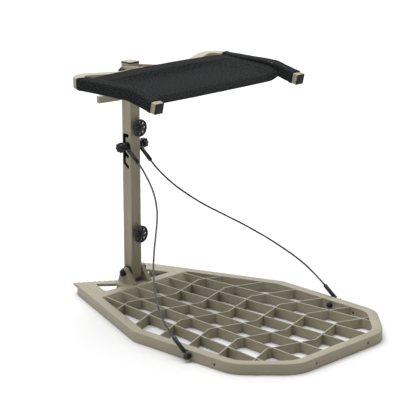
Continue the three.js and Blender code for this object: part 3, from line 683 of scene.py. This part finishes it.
# %% Both star knobs
KNOB_PROFILE = [
    (31.4, 6.8, 0), (31.8, 8.4, 0.1), (32.8, 10.0, 0.5), (34.2, 11.4, 0.9), (36.2, 11.8, 1), (42.8, 11.8, 1),
    (44.6, 11.3, 1), (45.7, 10.4, 0.9), (46.2, 9.2, 0.7), (45.8, 8.3, 0.4), (44.4, 7.7, 0.1), (43.6, 7.1, 0),
    (43.4, 5.4, 0), (43.8, 5.0, 0), (45.2, 4.6, 0), (45.4, 3.2, 0), (44.4, 2.8, 0), (44.0, 1.2, 0)]
for side, name in SIDES:
    knob = ring_solid(name + "_knob", KNOB_PROFILE, 112, lambda turn: 1.3 * math.cos(7 * turn))
    turned = Matrix.Rotation(math.radians(90 * side), 4, "Y")
    knob.data.transform(Matrix.Translation(mm(0, *LEVEL_BOLT)) @ turned)
    knob.data.materials.append(moulded)
    smooth_shade(knob.data, 50)
    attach(knob, name + "_knob")
    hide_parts(name + "_star_knob")
print("knob faces:", len(knob.data.polygons))

# %% [markdown]
# ## Seat cloth
# The seat is one width of heavy woven cloth sewn into a sleeve round each arm of the frame, so
# it is tight across and slack only a little in the middle. The sleeves are lofts: a rounded
# square section carried along the arm's bent centre line, with a doubled hem at both ends.

# %% Sleeves round the arms
ARM_X = 235
ARM_Z = 578.8
BEND_Y = 41
ARM_TIP = (-46, 558.3)
ARM_SLOPE = math.atan2(ARM_Z - ARM_TIP[1], BEND_Y - ARM_TIP[0])


def arm_line(y):
    """Height and slope of the arm's centre line at y. The bend is eased over 24 mm."""
    share = min(max((BEND_Y + 12 - y) / 24, 0), 1)
    eased = math.tan(ARM_SLOPE) * 24 * share * share / 2
    straight = math.tan(ARM_SLOPE) * max(BEND_Y - 12 - y, 0)
    return ARM_Z - eased - straight, ARM_SLOPE * share


def rounded_square(half, radius, arc=5, flat=7):
    """Points round a square with rounded corners, from the middle of its right side."""
    points = []
    for quarter in range(4):
        turn = math.pi / 2 * quarter
        for i in range(flat):
            points.append(Vector((half, -(half - radius) * (1 - 2 * i / flat))).to_3d())
            points[-1].rotate(Matrix.Rotation(turn, 3, "Z"))
        for i in range(arc):
            bend = math.pi / 2 * i / arc
            corner = Vector((half - radius + radius * math.cos(bend),
                            half - radius + radius * math.sin(bend))).to_3d()
            corner.rotate(Matrix.Rotation(turn, 3, "Z"))
            points.append(corner)
    return points


def sleeve_ring(side, y, proud, wrinkle=1.0):
    """One ring of a sleeve: a section set square to the arm at y."""
    z, slope = arm_line(y)
    ring = []
    for point in rounded_square(12.7 + proud, 6.0):
        slant = 0.42 * side * point.x * min(max((y - 170) / 36, 0), 1)
        place = Vector((ARM_X * side + point.x, y + slant - point.y * math.sin(slope),
                        z + point.y * math.cos(slope)))
        soft = noise.noise(place * 0.045) * 0.55 + noise.noise(place * 0.12) * 0.2
        near_bend = math.exp(-((y - BEND_Y) / 22) ** 2) * math.sin(y * 0.55 + point.x * 0.2) * 0.35
        outward = Vector((point.x, -point.y * math.sin(slope), point.y * math.cos(slope))).normalized()
        ring.append((place + outward * (soft + near_bend) * wrinkle) * 0.001)
    return ring


def arm_sleeve(side, name):
    stations = [(207.4, 0.5, 0), (208.0, 1.2, 0), (207.6, 2.1, 0.2), (206, 2.5, 0.4), (198, 2.5, 0.6),
                (196.6, 2.0, 0.6)]
    stations += [(192 - i * 4.0, 1.9, 1) for i in range(54)]
    stations += [(-22.6, 2.0, 0.6), (-24, 2.5, 0.6), (-31.6, 2.5, 0.4),
                 (-33.2, 2.1, 0.2), (-33.6, 1.2, 0), (-33, 0.5, 0)]
    piece = loft(name + "_sleeve_cloth", [sleeve_ring(side, *station) for station in stations], capped=False)
    if side < 0:
        piece.data.flip_normals()
    piece.data.materials.append(webbing)
    piece.data.shade_smooth()
    return piece


sleeves = {name: arm_sleeve(side, name) for side, name in SIDES}
print("sleeve rings:", len(sleeves["left"].data.vertices) // 48)

# %% [markdown]
# The sling between the sleeves starts as a grid on the drawn surface: up over the rear tube,
# a shallow trough, a crease and a front apron that slopes down between the arms. Its two sewn
# edges and the row over the tube are pinned. Blender's cloth then lets the rest settle under its
# own weight, and no point may move more than a few millimetres, as the cloth is stretched.

# %% The drawn sling
SLING_SPAN = 221.6
ACROSS = 96
SLING_LINE = [(200, 593.6), (190, 594.6), (176, 594.6), (160, 593.2), (150, 589.5), (138, 584.8), (122, 581),
              (100, 578.4), (75, 576.8), (50, 575.6), (34, 574.4), (25, 572.4),
               (17, 568.2), (10, 562.8), (4.5, 557.6)]
sling_rows = catmull_rom([mm(0, y, z) for y, z in SLING_LINE], 4)


SEAM_DROP = [(4, 16), (20, 11), (60, 7), (150, 4), (206, 2)]


def between(table, value):
    """Straight-line reading of a table of pairs in rising order."""
    for (x0, y0), (x1, y1) in zip(table, table[1:]):
        if value <= x1:
            return y0 + (y1 - y0) * max(value - x0, 0) / (x1 - x0)
    return table[-1][1]


def sling_point(x, row):
    """A point of the drawn sling. Near the arms it rises or falls to the seam on the sleeve."""
    y, z = row.y * 1000, row.z * 1000
    arm_height, slope = arm_line(y)
    seam = arm_height + 12.7 / math.cos(slope) - between(SEAM_DROP, y)
    inward = min((SLING_SPAN - abs(x)) / between([(0, 30), (125, 44), (165, 222)], y), 1)
    return mm(x, y, seam + (z - seam) * (1 - (1 - inward) ** 2))


def sling_grid(name):
    rings = []
    for row in sling_rows:
        rings.append([sling_point(SLING_SPAN * (1 - 2 * j / ACROSS), row) for j in range(ACROSS + 1)])
    return loft(name, rings, capped=False, closed=False)


sling = sling_grid("seat_sling_cloth")
drawn = [v.co.copy() for v in sling.data.vertices]
print("sling grid:", len(sling_rows), "by", ACROSS + 1)

# %% Let the sling settle
def settle(piece, pinned, cap, frames=20):
    """Runs cloth on a copy of a piece and moves each point there, at most `cap` from its start."""
    copy = bpy.data.objects.new(piece.name + "_settling", piece.data.copy())
    scene.collection.objects.link(copy)
    held = copy.vertex_groups.new(name="held")
    held.add(pinned, 1.0, "REPLACE")
    cloth = copy.modifiers.new("settle", "CLOTH")
    cloth.settings.vertex_group_mass = "held"
    cloth.settings.quality = 8
    cloth.settings.mass = 0.45
    cloth.settings.tension_stiffness = 40
    cloth.settings.compression_stiffness = 40
    cloth.settings.shear_stiffness = 12
    cloth.settings.bending_stiffness = 2.0
    cloth.settings.shrink_min = -0.004
    cloth.collision_settings.use_collision = False
    cloth.point_cache.frame_start = 1
    cloth.point_cache.frame_end = frames
    for number in range(1, frames + 1):
        scene.frame_set(number)
    rested = copy.evaluated_get(bpy.context.evaluated_depsgraph_get()).data
    furthest = 0
    for vertex, end in zip(piece.data.vertices, rested.vertices):
        move = end.co - vertex.co
        furthest = max(furthest, move.length)
        vertex.co += move * min(1, cap / max(move.length, 1e-9))
    bpy.data.objects.remove(copy)
    scene.frame_set(1)
    print("furthest point wanted to move", round(furthest * 1000, 1), "mm")


ROWS_ON_TUBE = 14
SETTLE_CAP = 5
per_row = ACROSS + 1
edges = [i for i in range(len(drawn)) if i % per_row in (0, per_row - 1)]
over_tube = [i for i in range(len(drawn)) if i // per_row < ROWS_ON_TUBE]
settle(sling, edges + over_tube, mm(SETTLE_CAP))

# %% [markdown]
# The flat cloth now gets what sewing does to it. The hems at the back and front are two layers
# thick, so they stand proud, and the cloth puckers beside every seam. Both are moves along the
# surface's own normal. Then the sheet is given its thickness downwards.

# %% Hems, puckers and thickness
def dress_sling(piece):
    mesh = piece.data
    columns = ACROSS + 1
    rows = len(sling_rows)
    moves = []
    for index, vertex in enumerate(mesh.vertices):
        row, column = divmod(index, columns)
        x, y = vertex.co.x * 1000, vertex.co.y * 1000
        rear_hem = min(max((y - 171) / 2, 0), 1)
        front_hem = min(max((27 - y) / 2, 0), 1)
        pucker = math.exp(-((y - 169) / 5) ** 2) + math.exp(-((y - 29) / 5) ** 2)
        side_pull = math.exp(-(SLING_SPAN - abs(x)) / 12)
        wave = math.sin(x * 0.42) * 0.16 * pucker + math.sin(y * 0.5) * 0.3 * side_pull
        soft = noise.noise(vertex.co * 28) * 0.5 + noise.noise(vertex.co * 75) * 0.16
        edge = min(column, columns - 1 - column) / 6
        moves.append((rear_hem + front_hem) * 0.7 + (wave + soft) * min(edge, 1))
    normals = [v.normal.copy() for v in mesh.vertices]
    for vertex, normal, move in zip(mesh.vertices, normals, moves):
        vertex.co += normal * (move * 0.001 if normal.z > 0 else -move * 0.001)
    print("dressed", rows, "rows")


dress_sling(sling)
surface = [v.co.copy() for v in sling.data.vertices]
if sling.data.polygons[0].normal.z < 0:
    sling.data.flip_normals()
thick = sling.modifiers.new("thickness", "SOLIDIFY")
thick.thickness = mm(1.8)
thick.offset = -1
smoother = sling.modifiers.new("smooth", "SUBSURF")
smoother.levels = 1
sling.data = bpy.data.meshes.new_from_object(sling.evaluated_get(bpy.context.evaluated_depsgraph_get()))
sling.modifiers.clear()
sling.data.materials.append(webbing)
sling.data.shade_smooth()
print("sling faces:", len(sling.data.polygons))

# %% [markdown]
# ## Stitches
# Rows of stitches hold the hems and the two sleeves. One stitch is a short, stretched bead of thread.
# The rows are polylines on the cloth; Geometry Nodes space the stitches along them at an even
# pitch and turn each one along its row.

# %% The stitch tree
def stitch_tree():
    tree, given = new_tree("stitch_rows", {
        "Pitch": mm(4.4), "Stitch Length": mm(3.0), "Thread": mm(0.9), "Seed": 7})
    path = put(tree, "GeometryNodeMeshToCurve", {0: given["Geometry"]})
    spots = put(tree, "GeometryNodeCurveToPoints",
                {0: path.outputs[0], "Length": given["Pitch"]}, mode="LENGTH")
    bead = put(tree, "GeometryNodeMeshUVSphere", {"Segments": 8, "Rings": 6, "Radius": 0.5})
    size = put(tree, "ShaderNodeCombineXYZ",
               {0: given["Thread"], 1: given["Thread"], 2: given["Stitch Length"]})
    shaped = put(tree, "GeometryNodeTransform", {0: bead.outputs[0], "Scale": size.outputs[0]})
    jitter = put(tree, "FunctionNodeRandomValue", {"Seed": given["Seed"]}, data_type="FLOAT")
    jitter.inputs[2].default_value = 0.85
    jitter.inputs[3].default_value = 1.1
    row = put(tree, "GeometryNodeInstanceOnPoints", {
        "Points": spots.outputs["Points"], "Instance": shaped.outputs[0],
        "Rotation": spots.outputs["Rotation"], "Scale": jitter.outputs[1]})
    close_tree(tree, row.outputs[0], thread)
    return tree


def row_at(y):
    """The dressed sling's points in the row nearest to y, kept clear of the seams at the sides."""
    columns = ACROSS + 1
    row = min(range(len(sling_rows)), key=lambda r: abs(surface[r * columns + ACROSS // 2].y - mm(y)))
    return [surface[row * columns + c] + mm(0, 0, 0.25) for c in range(3, ACROSS - 2)]


def column_at(column):
    columns = ACROSS + 1
    return [surface[r * columns + column] + mm(0, 0, 0.25) for r in range(3, len(sling_rows) - 3)]


def sleeve_row(side, inset):
    """A line along the top of a sleeve, a little in from its inner edge."""
    line = []
    for i in range(56):
        y = 194 - i * 4.0
        z, slope = arm_line(y)
        top = Vector((side * (ARM_X - 14.6 + inset), y - 14.9 * math.sin(slope), z + 14.9 * math.cos(slope)))
        line.append(top * 0.001)
    return line


stitches = stitch_tree()
seam_rows = [row_at(173.5), row_at(25.5), column_at(3), column_at(ACROSS - 3)]
sling_stitches = grow(stitches, "sling_stitches", "seat", polylines("sling_seams", seam_rows))
SLEEVE_SEAM_INSET = 4.5
sleeve_rows = [sleeve_row(side, SLEEVE_SEAM_INSET) for side, name in SIDES]
sleeve_stitches = grow(stitches, "sleeve_stitches", "seat", polylines("sleeve_seams", sleeve_rows))
for piece in (sling_stitches, sleeve_stitches):
    piece.data.shade_smooth()

# %% Hang the cloth on the seat
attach(sling, "seat")
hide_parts("seat_sling")
for side, name in SIDES:
    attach(sleeves[name], "seat")
    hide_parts(name + "_arm_sleeve")
